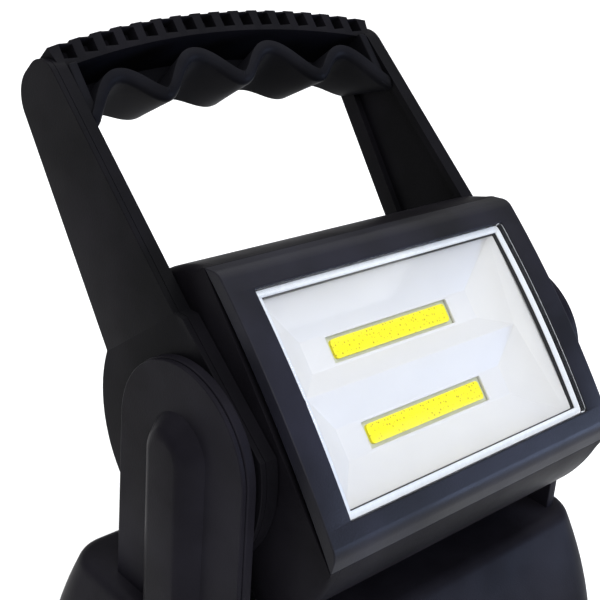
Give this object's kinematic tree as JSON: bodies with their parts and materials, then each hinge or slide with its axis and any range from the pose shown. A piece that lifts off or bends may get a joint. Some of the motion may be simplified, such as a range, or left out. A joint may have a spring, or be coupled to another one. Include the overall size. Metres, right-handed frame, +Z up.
{
  "type": "work light",
  "caption": "Portable battery work light: a bowed lamp head and a swinging carry handle with a finger grip pivot between two arms on a flared base.",
  "frame": {"origin": "on the resting plane, straight under the cross axis that the lamp head and the handle turn on", "axes": "+X to the light's right as seen from the front, +Y to the rear (the lamp face looks to -Y and up), +Z up"},
  "size_m": [0.133, 0.1199, 0.1634],
  "materials": {
    "base_shell": "matte, fine moulded texture",
    "base_plate": "matte, fine moulded texture",
    "foot_pad": "matte",
    "base_screws": "zinc plated",
    "battery_cells": "shrink-wrapped",
    "battery_holder": "matte",
    "charge_board": "green solder mask",
    "charge_socket": "bright",
    "base_lead": "matte",
    "arm_left": "matte, fine moulded texture",
    "arm_right": "matte, fine moulded texture",
    "arm_cover_left": "matte, fine moulded texture",
    "arm_cover_right": "matte, fine moulded texture",
    "arm_washer_left": "acetal",
    "arm_washer_right": "acetal",
    "pivot_bolt_left": "zinc plated",
    "pivot_bolt_right": "zinc plated",
    "pivot_nut_left": "zinc plated",
    "pivot_nut_right": "zinc plated",
    "bezel": "matte, fine moulded texture",
    "lens": "clear, polished",
    "lens_seal": "matte",
    "head_shell": "matte, fine moulded texture",
    "end_cap_left": "matte, fine moulded texture",
    "end_cap_right": "matte, fine moulded texture",
    "cap_screws_left": "zinc plated",
    "cap_screws_right": "zinc plated",
    "reflector": "white, satin",
    "heat_sink": "milled",
    "cob_board_upper": "white solder mask on aluminium",
    "cob_board_lower": "white solder mask on aluminium",
    "cob_phosphor_upper": "yellow phosphor gel, slightly glossy",
    "cob_phosphor_lower": "yellow phosphor gel, slightly glossy",
    "driver_board": "green solder mask",
    "head_lead": "matte",
    "switch_body": "matte",
    "head_washer_left": "acetal",
    "head_washer_right": "acetal",
    "handle_frame": "matte, fine moulded texture",
    "leg_cover_left": "matte, fine moulded texture",
    "leg_cover_right": "matte, fine moulded texture",
    "leg_screws_left": "zinc plated",
    "leg_screws_right": "zinc plated",
    "finger_grip": "matte, fine moulded texture",
    "switch_button": "matte"
  },
  "bodies": {
    "base": {"base_shell": "base_shell", "base_plate": "base_plate", "foot_pad": "foot_pad", "base_screws": "base_screws", "battery_cells": "battery_cells", "battery_holder": "battery_holder", "charge_board": "charge_board", "charge_socket": "charge_socket", "base_lead": "base_lead", "arm_left": "arm_left", "arm_right": "arm_right", "arm_cover_left": "arm_cover_left", "arm_cover_right": "arm_cover_right", "arm_washer_left": "arm_washer_left", "arm_washer_right": "arm_washer_right", "pivot_bolt_left": "pivot_bolt_left", "pivot_bolt_right": "pivot_bolt_right", "pivot_nut_left": "pivot_nut_left", "pivot_nut_right": "pivot_nut_right"},
    "head": {"bezel": "bezel", "lens": "lens", "lens_seal": "lens_seal", "head_shell": "head_shell", "end_cap_left": "end_cap_left", "end_cap_right": "end_cap_right", "cap_screws_left": "cap_screws_left", "cap_screws_right": "cap_screws_right", "reflector": "reflector", "heat_sink": "heat_sink", "cob_board_upper": "cob_board_upper", "cob_board_lower": "cob_board_lower", "cob_phosphor_upper": "cob_phosphor_upper", "cob_phosphor_lower": "cob_phosphor_lower", "driver_board": "driver_board", "head_lead": "head_lead", "switch_body": "switch_body", "head_washer_left": "head_washer_left", "head_washer_right": "head_washer_right"},
    "handle": {"handle_frame": "handle_frame", "leg_cover_left": "leg_cover_left", "leg_cover_right": "leg_cover_right", "leg_screws_left": "leg_screws_left", "leg_screws_right": "leg_screws_right", "finger_grip": "finger_grip"},
    "button": {"switch_button": "switch_button"}
  },
  "joints": [
    {"name": "head_tilt", "type": "hinge", "parent": "base", "child": "head", "pos_m": [0, 0, 0.086], "axis": [1, 0, 0], "range_deg": [-120, 90]},
    {"name": "handle_swing", "type": "hinge", "parent": "base", "child": "handle", "pos_m": [0, 0, 0.086], "axis": [1, 0, 0], "range_deg": [-70, 160]},
    {"name": "button_press", "type": "slide", "parent": "head", "child": "button", "axis": [0, -0.7478, 0.6639], "range_m": [0, 0.0012], "stiffness_N_per_m": 500, "springref_m": -0.0006}
  ]
}
